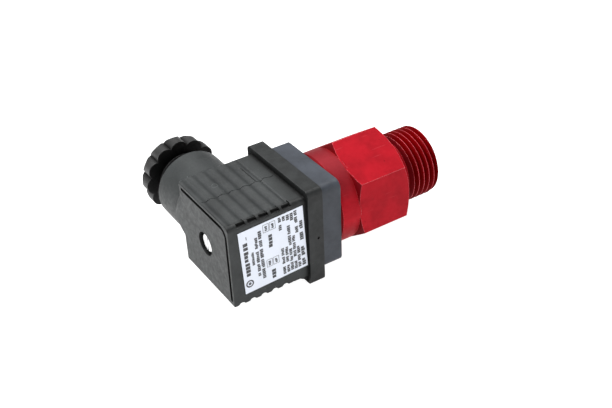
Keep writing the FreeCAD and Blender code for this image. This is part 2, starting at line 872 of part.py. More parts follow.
def wave_pocket(body, name, side, depth, twice_centre, width):
    """Cut one waved face: arcs that curve in and out by turns, with ends that run out gently."""
    pitch = number(size["wave_pitch"])
    count = int(number(size["wave_count"]))
    start = number(end_face + size["wave_start"])
    height = number(size["housing_half_height"])
    swing = number(depth) / 2
    middle = height - swing
    sketch = new_sketch(body, name + "Sketch", "XZ_Plane")
    sketch.AttachmentOffset = FreeCAD.Placement(
        FreeCAD.Vector(0, 0, -number(twice_centre) / 2), FreeCAD.Rotation())
    bind(sketch, "AttachmentOffset.Base.z", -twice_centre / 2)
    over = height + number(beyond)

    def corner(x, z):
        return FreeCAD.Vector(x, z * side, 0)

    for i in range(2 * count):
        left = start + pitch * i / 2
        bulge = -swing if i % 2 == 0 else swing
        sketch.addGeometry(Part.Arc(corner(left, middle), corner(left + pitch / 4, middle + bulge),
                                    corner(left + pitch / 2, middle)))
    right = start + pitch * count
    run_out = (over - middle) * pitch / 6 / swing
    ends = ((right, middle), (right + run_out, over), (start - run_out, over), (start, middle))
    for a, b in zip(ends, ends[1:]):
        sketch.addGeometry(Part.LineSegment(corner(*a), corner(*b)))
    pocket = body.newObject("PartDesign::Pocket", name)
    pocket.Profile = sketch
    pocket.Midplane = True
    pocket.Length = number(width)
    bind(pocket, "Length", width)


def cut_mould_lines(body):
    """The wandering parting line along the top, and the side of the plain patch beside the flange."""
    top = size["housing_half_height"]
    line = size["mould_line"]
    width = size["mould_line_width"]
    depth = size["mould_line_depth"]
    sketch = new_sketch(body, "MouldLineSketch")
    sketch.AttachmentOffset = FreeCAD.Placement(FreeCAD.Vector(0, 0, number(top)), FreeCAD.Rotation())
    bind(sketch, "AttachmentOffset.Base.z", top)
    draw_mould_line(sketch)
    pocket = body.newObject("PartDesign::Pocket", "MouldLine")
    pocket.Profile = sketch
    pocket.Length = number(size["wave_depth"] + depth)
    bind(pocket, "Length", size["wave_depth"] + depth)
    side = flange_back - size["pad_length"]
    box(body, "Subtractive", "PatchSide",
        (side, line + size["mould_line_swing"], top - depth),
        (width, size["pad_width"], depth + beyond))


def draw_mould_line(sketch):
    """A narrow band of arcs that curve to either side by turns, closed at both ends."""
    half_wave = number(size["wave_pitch"]) / 2
    start = number(end_face + size["face_edge"])
    bends = int(number(flange_back - end_face) / half_wave)
    line, width = number(size["mould_line"]), number(size["mould_line_width"])
    swing = number(size["mould_line_swing"])
    for y in (line, line + width):
        for i in range(bends):
            left = start + half_wave * i
            bulge = y + (swing if i % 2 else -swing)
            sketch.addGeometry(Part.Arc(FreeCAD.Vector(left, y, 0),
                                        FreeCAD.Vector(left + half_wave / 2, bulge, 0),
                                        FreeCAD.Vector(left + half_wave, y, 0)))
    for x in (start, start + half_wave * bends):
        sketch.addGeometry(Part.LineSegment(FreeCAD.Vector(x, line, 0), FreeCAD.Vector(x, line + width, 0)))


def cut_rim_slots(body):
    """Short slots in the rim above the label, each with a notch that runs up onto the top."""
    pitch = size["wave_pitch"]
    inner = -size["rim_slot_inner"]
    top = size["housing_half_height"]
    for i in range(int(number(size["wave_count"]))):
        x = end_face + size["rim_slot_start"] + pitch * i
        box(body, "Subtractive", "RimSlot",
            (x, inner - size["rim_slot_width"], top - size["rim_slot_depth"]),
            (size["rim_slot_length"], size["rim_slot_width"], size["rim_slot_depth"] + beyond))
        box(body, "Subtractive", "RimNotch",
            (x + size["rim_slot_length"] - size["rim_notch_width"], inner, top - size["rim_notch_depth"]),
            (size["rim_notch_width"], size["rim_notch_length"], size["rim_notch_depth"] + beyond))


def cut_face_groove(body):
    """The groove that follows the top and the label side of the end face, closed by round ends."""
    inset = size["face_groove_inset"]
    width = number(size["face_groove_width"])
    top = number(size["housing_half_height"] - inset)
    side = -number(size["housing_half_width"] - inset)
    bend = number(size["face_groove_corner"])
    far = number(size["face_groove_far"])
    low = -number(size["face_groove_low"])
    centre = FreeCAD.Vector(side + bend, top - bend, 0)
    diagonal = FreeCAD.Vector(-math.sqrt(0.5), math.sqrt(0.5), 0)
    sketch = new_sketch(body, "FaceGrooveSketch", "YZ_Plane")
    for shift in (0.0, width):
        over = FreeCAD.Vector(side + bend, top - shift, 0)
        beside = FreeCAD.Vector(side + shift, top - bend, 0)
        sketch.addGeometry(Part.LineSegment(FreeCAD.Vector(far, top - shift, 0), over))
        sketch.addGeometry(Part.Arc(over, centre + diagonal * (bend - shift), beside))
        sketch.addGeometry(Part.LineSegment(beside, FreeCAD.Vector(side + shift, low, 0)))
    half = width / 2
    for start, step in ((FreeCAD.Vector(far, top, 0), FreeCAD.Vector(half, -half, 0)),
                        (FreeCAD.Vector(side, low, 0), FreeCAD.Vector(half, -half, 0))):
        end = start + (FreeCAD.Vector(0, -width, 0) if start.x > 0 else FreeCAD.Vector(width, 0, 0))
        sketch.addGeometry(Part.Arc(start, start + step, end))
    sketch.AttachmentOffset = FreeCAD.Placement(FreeCAD.Vector(0, 0, number(end_face)), FreeCAD.Rotation())
    bind(sketch, "AttachmentOffset.Base.z", end_face)
    pocket = body.newObject("PartDesign::Pocket", "FaceGroove")
    pocket.Profile = sketch
    pocket.Length = number(size["face_groove_depth"])
    pocket.Reversed = True
    bind(pocket, "Length", size["face_groove_depth"])


def make_housing():
    body = new_body("connector_housing")
    make_housing_shell(body)
    wall = size["side_wall"]
    inner_width = size["housing_half_width"] - wall
    inner_height = size["housing_half_height"] - wall
    box(body, "Subtractive", "Inside", (cavity_end, -inner_width, -inner_height),
        (base_back - cavity_end + beyond, inner_width * 2, inner_height * 2))
    rod(body, "Additive", "Boss", (cavity_end - beyond / 2, 0, 0), X_AXIS, size["screw_boss"],
        size["screw_boss_length"] + beyond / 2)
    rod(body, "Subtractive", "ScrewWell", (end_face - beyond, 0, 0), X_AXIS, size["screw_well"],
        well_floor - end_face + beyond)
    rod(body, "Subtractive", "ScrewHole", (well_floor - beyond, 0, 0), X_AXIS,
        size["screw_radius"] + size["fit_gap"] * 2, size["screw_boss_length"] + beyond * 2)
    rod(body, "Subtractive", "GlandBore", (collar_x, size["gland_seat"], 0), Y_AXIS, size["gland_bore"],
        size["collar_end"] - size["gland_seat"] + beyond)
    rod(body, "Subtractive", "CableBore", (collar_x, inner_width - beyond, 0), Y_AXIS,
        size["cable_bore"], size["gland_seat"])
    rod(body, "Subtractive", "GateMark",
        (-size["gate_mark_x"], -size["flange_half_width"] - beyond, size["gate_mark_z"]), Y_AXIS,
        size["gate_mark_radius"], beyond + size["gate_mark_radius"])
    cut_waves(body)
    cut_mould_lines(body)
    cut_rim_slots(body)
    cut_face_groove(body)


def make_gasket():
    """Profile gasket between the connector and the base, pierced for the pins and the post."""
    body = new_body("gasket")
    play = size["slot_play"] * 2
    half_y = size["housing_half_width"] - size["side_wall"] - size["block_gap"]
    half_z = size["housing_half_height"] - size["side_wall"] - size["block_gap"]
    box(body, "Additive", "Sheet", (gasket_back, -half_y, -half_z),
        (size["gasket_thickness"], half_y * 2, half_z * 2))
    for name, y, z, across in pin_places():
        blade_box(body, "Subtractive", "Slot" + name, gasket_back - beyond, size["gasket_thickness"] + beyond * 2,
                  y, z, across, size["pin_width"] + play, size["pin_thickness"] + play)
    rod(body, "Subtractive", "PostHole", (gasket_back - beyond, 0, 0), X_AXIS,
        size["post_radius"] + size["post_play"], size["gasket_thickness"] + beyond * 2)


def make_terminal_block():
    """Insulating block inside the connector, with a pocket for each female contact."""
    body = new_body("terminal_block")
    play = size["slot_play"] * 2
    half_y = size["housing_half_width"] - size["side_wall"] - size["block_gap"]
    half_z = size["housing_half_height"] - size["side_wall"] - size["block_gap"]
    length = size["block_length"]
    box(body, "Additive", "Block", (block_back, -half_y, -half_z), (length, half_y * 2, half_z * 2))
    for name, y, z, across in pin_places():
        blade_box(body, "Subtractive", "Pocket" + name, block_back - beyond, length, y, z, across,
                  size["contact_width"], size["contact_thickness"])
        blade_box(body, "Subtractive", "Slot" + name, block_back, length + beyond, y, z, across,
                  size["pin_width"] + play, size["pin_thickness"] + play)
    post_room = base_back - size["post_reach"] - size["fit_gap"] * 2
    rod(body, "Subtractive", "PostHole", (post_room, 0, 0), X_AXIS,
        size["post_radius"] + size["post_play"], gasket_back - post_room + beyond)
    rod(body, "Subtractive", "ScrewHole", (block_back - beyond, 0, 0), X_AXIS,
        size["screw_radius"] + size["post_play"], length + beyond)


def make_contacts():
    """Female contacts in the block, and the four clamp screws on their wiring side."""
    gap = size["fit_gap"] * 2
    length = size["block_length"] - 1
    screws = []
    for name, y, z, across in pin_places():
        contact = new_body("contact_" + name)
        blade_box(contact, "Additive", "Contact", block_back, length, y, z, across,
                  size["contact_width"], size["contact_thickness"])
        blade_box(contact, "Subtractive", "Slot", block_back + length - size["contact_slot_depth"],
                  size["contact_slot_depth"] + beyond, y, z, across, size["pin_width"] + gap * 2,
                  size["pin_thickness"] + gap)
        rod(contact, "Subtractive", "Hole", (block_back - beyond, y, z), X_AXIS, size["clamp_shank_radius"],
            size["clamp_shank_length"] + beyond)
        screws.append((y, z))
    make_clamp_screws(screws)


def clamp_screw(index, y, z):
    """Cheese-head screw: a head with a driver slot, and its shank."""
    head = cylinder(f"ClampHead{index}", (block_back - size["clamp_head_height"], y, z), X_AXIS,
                    size["clamp_head_radius"], size["clamp_head_height"])
    shank = cylinder(f"ClampShank{index}", (block_back, y, z), X_AXIS, size["clamp_shank_radius"],
                     size["clamp_shank_length"])
    whole = doc.addObject("Part::Fuse", f"ClampWhole{index}")
    whole.Base = head
    whole.Tool = shank
    slot = doc.addObject("Part::Box", f"ClampSlot{index}")
    lengths = (size["clamp_slot"], size["clamp_slot"], size["clamp_head_radius"] * 3)
    for prop, length in zip(("Length", "Width", "Height"), lengths):
        bind(slot, prop, length)
    place(slot, (block_back - size["clamp_head_height"], y - size["clamp_slot"] / 2,
                 z - size["clamp_head_radius"] * 1.5))
    screw = doc.addObject("Part::Cut", f"ClampScrew{index}")
    screw.Base = whole
    screw.Tool = slot
    return screw


def cylinder(name, start, direction, radius, length):
    item = doc.addObject("Part::Cylinder", name)
    bind(item, "Radius", radius)
    bind(item, "Height", length)
    place(item, start, FreeCAD.Rotation(Z_AXIS, direction))
    return item


def make_clamp_screws(places):
    group = doc.addObject("Part::Compound", "clamp_screws")
    group.Label = "clamp_screws"
    group.Links = [clamp_screw(i, y, z) for i, (y, z) in enumerate(places)]
    nodes.append(group)


def make_connector_screw():
    """Long central screw with a slotted cheese head, and the seal under its head."""
    body = new_body("connector_screw")
    radius = size["screw_radius"]
    head = size["screw_head_radius"]
    tip = -size["screw_tip"]
    edge = size["screw_edge"]
    point = size["screw_point"]
    turn(body, "Revolution", "Screw", [
        (head_front, 0),
        (head_front, head - edge),
        (head_front + edge, head),
        (head_seat, head),
        (head_seat, radius),
        (tip - point, radius),
        (tip, radius - point),
        (tip, 0),
    ])
    half = size["screw_slot"] / 2
    box(body, "Subtractive", "Slot", (head_front - beyond, -half, -head - beyond),
        (size["screw_slot_depth"] + beyond, half * 2, (head + beyond) * 2))
    turned_ring("screw_seal", head_seat, well_floor, radius + size["fit_gap"] * 2, head + edge)


def make_label():
    """Thin plate label on the -Y side, put on slightly askew."""
    label = doc.addObject("Part::Box", "label")
    label.Label = "label"
    lengths = (size["label_length"], size["label_thickness"], size["label_height"])
    for prop, length in zip(("Length", "Width", "Height"), lengths):
        bind(label, prop, length)
    turned = FreeCAD.Rotation(Y_AXIS, -number(size["label_turn"]))
    half = FreeCAD.Vector(number(size["label_length"]) / 2, 0, number(size["label_height"]) / 2)
    shift = half - turned.multVec(half)
    place(label, (-size["label_start"] + shift.x, -size["housing_half_width"] - size["label_thickness"],
                  -size["label_bottom"] + shift.z), turned)
    nodes.append(label)


# ---- cable gland ----------------------------------------------------------------------------------


def turned_about_gland(name, corners):
    """A body turned about the gland's axis from an outline of radius and height along Y."""
    body = new_body(name)
    turn(body, "Revolution", "Turned", corners, "V_Axis")
    place(body, (collar_x, 0, 0))
    return body


def make_gland():
    """Cable seal, pressure washer and the lobed nut on its threaded shank."""
    seat = size["gland_seat"]
    turned_about_gland("gland_seal", [
        (size["seal_bore"], seat), (size["seal_outer"], seat),
        (size["seal_outer"], washer_start), (size["seal_bore"], washer_start)])
    turned_about_gland("gland_washer", [
        (size["washer_bore"], washer_start), (size["washer_outer"], washer_start),
        (size["washer_outer"], shank_start), (size["washer_bore"], shank_start)])
    make_nut()


def make_nut():
    shank = size["nut_shank_radius"]
    head = size["nut_head_start"]
    face = head + size["nut_head_length"]
    peak = size["lobe_centre"] + size["lobe_radius"]
    edge = size["nut_edge"]
    body = turned_about_gland("gland_nut", [
        (0, shank_start), (shank - edge, shank_start), (shank, shank_start + edge), (shank, head + edge),
        (0, head + edge)])
    cut_thread(body, size["nut_thread_pitch"], size["nut_thread_depth"], shank, size["nut_thread_pitch"] / 4,
               shank_start, head - shank_start, "V_Axis")
    sketch = new_sketch(body, "LobeSketch", "XZ_Plane")
    lobe_outline(sketch)
    sketch.AttachmentOffset = FreeCAD.Placement(FreeCAD.Vector(0, 0, -number(head)), FreeCAD.Rotation())
    bind(sketch, "AttachmentOffset.Base.z", -head)
    pad = body.newObject("PartDesign::Pad", "Head")
    pad.Profile = sketch
    pad.Length = number(size["nut_head_length"])
    pad.Reversed = True
    bind(pad, "Length", size["nut_head_length"])
    straight = head + size["nut_head_straight"]
    turn(body, "Groove", "Dome", [
        (peak + beyond, straight), (peak, straight),
        (peak - size["nut_shoulder"], straight + size["nut_shoulder_length"]),
        (size["nut_face_radius"], face), (size["nut_face_radius"], face + beyond),
        (peak + beyond, face + beyond)], "V_Axis")
    bore = size["nut_bore"]
    turn(body, "Groove", "Bore", [
        (0, shank_start - beyond), (bore, shank_start - beyond), (bore, face - size["nut_bore_sink"]),
        (bore + size["nut_bore_flare"], face + edge), (0, face + edge)], "V_Axis")


def lobe_outline(sketch):
    """A ring of equal lobes, each an arc that meets its neighbours in a sharp valley."""
    count = int(number(size["nut_lobes"]))
    reach = number(size["lobe_centre"])
    radius = number(size["lobe_radius"])
    half = math.pi / count
    valley = reach * math.cos(half) + math.sqrt(radius ** 2 - (reach * math.sin(half)) ** 2)
    for i in range(count):
        angle = 2 * half * i
        ends = []
        for turned, far in ((angle - half, valley), (angle, reach + radius), (angle + half, valley)):
            ends.append(FreeCAD.Vector(far * math.cos(turned), far * math.sin(turned), 0))
        sketch.addGeometry(Part.Arc(*ends))


def main():
    make_port_body()
    make_sensing_parts()
    make_spring()
    make_switch_case()
    make_switch_tags()
    make_plunger_and_bridge()
    make_leads()
    make_base()
    make_base_seal()
    make_terminal_plate()
    make_pins()
    make_post()
    make_housing()
    make_gasket()
    make_terminal_block()
    make_contacts()
    make_connector_screw()
    make_label()
    make_gland()
    doc.recompute()
    check_document()
    export_nodes()


def check_document():
    for item in doc.Objects:
        if "Invalid" in item.State or "Error" in item.State:
            raise RuntimeError(f"{item.Name} failed: {item.State}")
    for node in nodes:
        if node.Shape.isNull() or not node.Shape.isValid():
            raise RuntimeError(f"{node.Label} has no valid shape")


def export_nodes():
    os.makedirs("parts", exist_ok=True)
    for node in nodes:
        node.Shape.exportStep(f"parts/{node.Label}.step")
        bounds = node.Shape.BoundBox
        print(f"{node.Label}: {len(node.Shape.Solids)} solid, {node.Shape.Volume:.2f} mm3, "
              f"x {bounds.XMin:.2f} {bounds.XMax:.2f}")


main()
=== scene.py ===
"""Studio scene of a pressure switch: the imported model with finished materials, and the print on its
label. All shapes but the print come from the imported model."""
import bmesh
import bpy
import json
import math
import random
from mathutils import Matrix, Vector


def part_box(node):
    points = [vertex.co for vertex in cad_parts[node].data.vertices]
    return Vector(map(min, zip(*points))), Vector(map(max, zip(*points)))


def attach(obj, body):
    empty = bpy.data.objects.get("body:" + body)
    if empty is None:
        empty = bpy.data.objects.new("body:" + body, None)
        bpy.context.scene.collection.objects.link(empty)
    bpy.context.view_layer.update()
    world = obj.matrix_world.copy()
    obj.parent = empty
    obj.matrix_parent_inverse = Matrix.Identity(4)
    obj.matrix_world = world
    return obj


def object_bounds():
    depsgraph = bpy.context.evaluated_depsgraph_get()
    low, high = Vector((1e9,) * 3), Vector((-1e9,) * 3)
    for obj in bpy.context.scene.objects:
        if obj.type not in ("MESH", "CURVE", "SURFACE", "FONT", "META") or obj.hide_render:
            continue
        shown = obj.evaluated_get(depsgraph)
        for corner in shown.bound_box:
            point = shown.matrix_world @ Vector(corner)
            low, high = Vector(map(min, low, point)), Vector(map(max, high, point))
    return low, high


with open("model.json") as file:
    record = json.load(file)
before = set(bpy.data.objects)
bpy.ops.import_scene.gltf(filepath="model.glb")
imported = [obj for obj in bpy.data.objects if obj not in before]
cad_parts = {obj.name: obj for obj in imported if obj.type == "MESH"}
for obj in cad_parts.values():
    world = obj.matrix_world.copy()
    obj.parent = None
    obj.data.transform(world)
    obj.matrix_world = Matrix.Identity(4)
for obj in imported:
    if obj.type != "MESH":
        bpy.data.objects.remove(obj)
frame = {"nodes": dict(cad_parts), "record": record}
cad_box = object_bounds()
scene = bpy.context.scene
MM = 0.001

# ---- camera ---------------------------------------------------------------------------------------

CAMERA_PLACE = Vector((-144.87, -191.35, 154.78)) * MM
CAMERA_AZIMUTH = math.radians(-31.8)
CAMERA_ELEVATION = math.radians(34.55)
CAMERA_ROLL = math.radians(-2.63)
CAMERA_LENS = 57.07


def make_camera():
    data = bpy.data.cameras.new("camera")
    data.lens = CAMERA_LENS
    data.sensor_width = 36
    data.clip_start = 0.01
    camera = bpy.data.objects.new("camera", data)
    scene.collection.objects.link(camera)
    turn = (Matrix.Rotation(CAMERA_AZIMUTH, 4, "Z")
            @ Matrix.Rotation(math.pi / 2 - CAMERA_ELEVATION, 4, "X")
            @ Matrix.Rotation(CAMERA_ROLL, 4, "Z"))
    camera.matrix_world = Matrix.Translation(CAMERA_PLACE) @ turn
    scene.camera = camera


# ---- light and floor ------------------------------------------------------------------------------

WORLD_COLOUR = (0.97, 0.98, 1.0)
WORLD_STRENGTH = 0.22
LIGHT_TARGET = (-0.02, 0.0, 0.0)
# Each light's name, place and diameter in metres, and power in watts.
LIGHTS = (
    ("key", (-0.48, 0.02, 0.46), 0.30, 3.9),
    ("top", (0.0, 0.18, 0.62), 0.55, 7.3),
    ("fill", (0.08, -0.55, 0.12), 0.40, 1.4),
)
FLOOR_REACH = 3.0
FLOOR_COLOUR = (0.35, 0.35, 0.35)
FLOOR_GLOW = 0.98


def area_light(name, place, target, size, power):
    data = bpy.data.lights.new(name, "AREA")
    data.shape = "DISK"
    data.size = size
    data.energy = power
    light = bpy.data.objects.new(name, data)
    scene.collection.objects.link(light)
    light.location = place
    light.rotation_euler = (Vector(target) - Vector(place)).to_track_quat("-Z", "Y").to_euler()


def make_light():
    world = bpy.data.worlds.new("studio")
    scene.world = world
    world.use_nodes = True
    background = world.node_tree.nodes["Background"]
    background.inputs["Color"].default_value = (*WORLD_COLOUR, 1)
    background.inputs["Strength"].default_value = WORLD_STRENGTH
    for name, place, size, power in LIGHTS:
        area_light(name, place, LIGHT_TARGET, size, power)
    scene.view_settings.view_transform = "Standard"


def make_floor():
    low = cad_box[0][2]
    mesh = bpy.data.meshes.new("floor")
    reach = FLOOR_REACH
    corners = [(x * reach, y * reach, low) for x, y in ((-1, -1), (1, -1), (1, 1), (-1, 1))]
    mesh.from_pydata(corners, [], [(0, 1, 2, 3)])
    floor = bpy.data.objects.new("floor", mesh)
    scene.collection.objects.link(floor)
    shader = Shader("floor_paper", FLOOR_COLOUR, 0.9)
    shader.bsdf.inputs["Emission Color"].default_value = (1, 1, 1, 1)
    shader.bsdf.inputs["Emission Strength"].default_value = FLOOR_GLOW
    mesh.materials.append(shader.material)


# ---- materials ------------------------------------------------------------------------------------


class Shader:
    """A Principled material with helpers for the few node patterns that are used here."""

    def __init__(self, name, colour, roughness, metallic=0.0, gloss=0.5):
        self.material = bpy.data.materials.new(name)
        self.material.use_nodes = True
        self.tree = self.material.node_tree
        self.bsdf = self.tree.nodes["Principled BSDF"]
        self.bsdf.inputs["Base Color"].default_value = (*colour, 1)
        self.bsdf.inputs["Roughness"].default_value = roughness
        self.bsdf.inputs["Metallic"].default_value = metallic
        self.bsdf.inputs["Specular IOR Level"].default_value = gloss
        self.place = self.add("ShaderNodeTexCoord").outputs["Object"]
        self.normal = None

    def add(self, kind, **settings):
        node = self.tree.nodes.new(kind)
        for key, value in settings.items():
            setattr(node, key, value)
        return node

    def feed(self, socket, value):
        """Link a socket to another one, or give it a number."""
        if hasattr(value, "is_linked"):
            self.tree.links.new(value, socket)
        else:
            socket.default_value = value

    def maths(self, operation, a, b=0.0, clamp=False):
        node = self.add("ShaderNodeMath", operation=operation, use_clamp=clamp)
        self.feed(node.inputs[0], a)
        self.feed(node.inputs[1], b)
        return node.outputs[0]

    def noise(self, scale, detail=3.0, roughness=0.55, stretch=(1, 1, 1)):
        """Noise over the piece; scale is in cycles per metre."""
        mapping = self.add("ShaderNodeMapping")
        self.feed(mapping.inputs["Vector"], self.place)
        mapping.inputs["Scale"].default_value = stretch
        node = self.add("ShaderNodeTexNoise")
        self.feed(node.inputs["Vector"], mapping.outputs[0])
        node.inputs["Scale"].default_value = scale
        node.inputs["Detail"].default_value = detail
        node.inputs["Roughness"].default_value = roughness
        return node.outputs["Fac"]

    def spots(self, scale, low, high):
        """Small round specks: 1 in a speck and 0 elsewhere."""
        node = self.add("ShaderNodeTexVoronoi")
        self.feed(node.inputs["Vector"], self.place)
        node.inputs["Scale"].default_value = scale
        return self.span(node.outputs["Distance"], low, high, 1.0, 0.0)

    def span(self, value, low, high, to_low, to_high):
        node = self.add("ShaderNodeMapRange")
        self.feed(node.inputs["Value"], value)
        limits = {"From Min": low, "From Max": high, "To Min": to_low, "To Max": to_high}
        for key, number in limits.items():
            node.inputs[key].default_value = number
        return node.outputs["Result"]

    def mix(self, factor, a, b):
        node = self.add("ShaderNodeMix", data_type="RGBA")
        self.feed(node.inputs["Factor"], factor)
        for socket, value in ((node.inputs["A"], a), (node.inputs["B"], b)):
            self.feed(socket, value if hasattr(value, "is_linked") else (*value, 1))
        return node.outputs["Result"]

    def bump(self, height, distance, strength=1.0):
        node = self.add("ShaderNodeBump")
        self.feed(node.inputs["Height"], height)
        node.inputs["Distance"].default_value = distance
        node.inputs["Strength"].default_value = strength
        if self.normal is not None:
            self.feed(node.inputs["Normal"], self.normal)
        self.normal = node.outputs["Normal"]
        self.feed(self.bsdf.inputs["Normal"], self.normal)

    def soft_edges(self, radius):
        """Rounds the shading of every edge by a small radius."""
        node = self.add("ShaderNodeBevel", samples=6)
        node.inputs["Radius"].default_value = radius
        self.normal = node.outputs["Normal"]
        self.feed(self.bsdf.inputs["Normal"], self.normal)

    def edges(self, radius, low=0.02, high=0.25):
        """1 on a sharp edge, 0 away from it."""
        bevel = self.add("ShaderNodeBevel", samples=6)
        bevel.inputs["Radius"].default_value = radius
        flat = self.add("ShaderNodeNewGeometry").outputs["Normal"]
        dot = self.add("ShaderNodeVectorMath", operation="DOT_PRODUCT")
        self.feed(dot.inputs[0], bevel.outputs["Normal"])
        self.feed(dot.inputs[1], flat)
        return self.span(self.maths("SUBTRACT", 1.0, dot.outputs["Value"]), low, high, 0.0, 1.0)

    def crevices(self, reach, power=1.0):
        """0 in deep corners, 1 on open surfaces."""
        node = self.add("ShaderNodeAmbientOcclusion", samples=8)
        node.inputs["Distance"].default_value = reach
        return self.maths("POWER", node.outputs["AO"], power)

    def facing(self, axis, low, high):
        """0 where the surface's normal along an axis of the piece is below low, 1 above high."""
        split = self.add("ShaderNodeSeparateXYZ")
        self.feed(split.inputs[0], self.normal)
        return self.span(split.outputs[axis], low, high, 0.0, 1.0)

    def along(self, axis, at, soft):
        """0 below a place along an axis of the piece, 1 above it."""
        split = self.add("ShaderNodeSeparateXYZ")
        self.feed(split.inputs[0], self.place)
        return self.span(split.outputs[axis], at - soft / 2, at + soft / 2, 0.0, 1.0)

    def ring(self, centre, radius, width):
        """1 on a thin ring round a point of the surface, 0 elsewhere."""
        node = self.add("ShaderNodeVectorMath", operation="DISTANCE")
        self.feed(node.inputs[0], self.place)
        node.inputs[1].default_value = centre
        gap = self.maths("ABSOLUTE", self.maths("SUBTRACT", node.outputs["Value"], radius))
        return self.span(gap, width * 0.3, width * 0.6, 1.0, 0.0)

    def paint(self, colour):
        self.feed(self.bsdf.inputs["Base Color"], colour)


# Places on the housing and the port body, in the frame of the part.
MARK_PLACE = (-51.1 * MM, 5.6 * MM, 12.8 * MM)
MARK_RADIUS = 0.85 * MM
MARK_WIDTH = 0.3 * MM
GATE_PLACE = (-32.07 * MM, -15.05 * MM, -0.55 * MM)
GATE_WIDTH = 1.1 * MM
FLANGE_BACK = -35.0 * MM
RIM_SIDE = -12.2 * MM
RIM_HEIGHT = 11.6 * MM
HEXAGON_BACK = -17.3 * MM


RED = (0.31, 0.007, 0.014)
# Pale red for the painted highlights on sharp edges and for scratches.
RED_HIGHLIGHT_AND_SCRATCH = (0.62, 0.17, 0.19)
INK = (0.018, 0.018, 0.022)
INK_WORN = (0.25, 0.26, 0.28)


def scaled(colour, factor):
    return tuple(min(1.0, channel * factor) for channel in colour)


def moulded_plastic(name, colour, roughness=0.5, edge_wear_and_highlight=0.25, shade=2.5, depth=2.4, extra=None):
    """Injection-moulded plastic: fine spark grain, cloudy tone, paler edges (part rubbed wear, part
    painted highlight), painted shade in corners.

    Painted shade darkens corners within shade millimetres, the more the higher depth is. extra adds the
    details of one piece to the tone.
    """
    shader = Shader(name, colour, roughness, gloss=0.22)
    shader.soft_edges(0.12 * MM)
    cloud = shader.noise(140, 4.0)
    cloudy = shader.span(cloud, 0.35, 0.65, 0.0, 1.0)
    tone = shader.mix(cloudy, scaled(colour, 0.8), scaled(colour, 1.24))
    speck = shader.noise(5200, 2.0)
    tone = shader.mix(shader.span(speck, 0.62, 0.74, 0.0, 0.22), tone, scaled(colour, 2.2))
    # Paler edges: partly rubbed wear, partly a painted highlight along the edges.
    rubbed_and_highlit_edges = shader.maths("MULTIPLY", shader.edges(0.4 * MM),
                          shader.span(shader.noise(600), 0.4, 0.7, 0.1, edge_wear_and_highlight + 0.25))
    tone = shader.mix(rubbed_and_highlit_edges, tone, scaled(colour, 3.0))
    if extra is not None:
        tone = extra(shader, tone, colour)
    # Painted shade: corners and recesses are painted darker, down to almost black.
    open_part = shader.crevices(shade * MM, depth)
    shader.paint(shader.mix(open_part, scaled(colour, 0.06), tone))
    shader.feed(shader.bsdf.inputs["Roughness"],
                shader.span(shader.noise(900, 3.0), 0.3, 0.7, roughness - 0.07, roughness + 0.1))
    shader.bump(shader.noise(6500, 3.0), 0.03 * MM, 0.35)
    shader.bump(shader.noise(420, 2.0), 0.05 * MM, 0.15)
    return shader.material


def housing_details(shader, tone, colour):
    """The darker flange, a darker band on the rim, painted shade in the gate-mark pit and in narrow
    gaps, lint, and a plain ring.
    """
    origin = frame["nodes"]["connector_housing"].matrix_world.translation
    soft = 0.5 * MM
    flange = shader.along(0, FLANGE_BACK - origin.x, soft)
    tone = shader.mix(flange, tone, shader.mix(shader.span(shader.noise(300, 4.0), 0.4, 0.7, 0.0, 1.0),
                                               scaled(colour, 0.42), scaled(colour, 0.8)))
    # The rim above the label is painted darker in uneven patches.
    rim = shader.maths("MULTIPLY", shader.along(2, RIM_HEIGHT - origin.z, soft),
                       shader.maths("SUBTRACT", 1.0, shader.along(1, RIM_SIDE - origin.y, soft)))
    rim_darkening = shader.maths("MULTIPLY", rim, shader.span(shader.noise(420, 4.0), 0.35, 0.6, 0.35, 1.0))
    tone = shader.mix(rim_darkening, tone, scaled(colour, 0.35))
    # Painted shade: the gate-mark pit is painted almost black.
    gate_pit_shade = shader.ring(Vector(GATE_PLACE) - origin, 0.0, GATE_WIDTH)
    tone = shader.mix(gate_pit_shade, tone, scaled(colour, 0.1))
    # Painted shade in narrow gaps and grooves, such as the mould line and the gap at the flange.
    tone = shader.mix(shader.crevices(1.3 * MM, 3.5), scaled(colour, 0.1), tone)
    lint = shader.maths("MULTIPLY", shader.spots(520, 0.05, 0.11),
                        shader.span(shader.noise(340), 0.58, 0.62, 0.0, 0.6))
    tone = shader.mix(lint, tone, scaled(colour, 5.0))
    raised = shader.ring(Vector(MARK_PLACE) - origin, MARK_RADIUS, MARK_WIDTH)
    shader.bump(raised, 0.15 * MM, 0.8)
    return shader.mix(shader.maths("MULTIPLY", raised, 0.8), tone, scaled(colour, 3.0))


def nut_back_shade(shader, tone, colour):
    """The nut's back, which faces the housing, gets painted shade: it is darker than its lobes."""
    return shader.mix(shader.facing(1, -0.95, -0.7), scaled(colour, 0.2), tone)


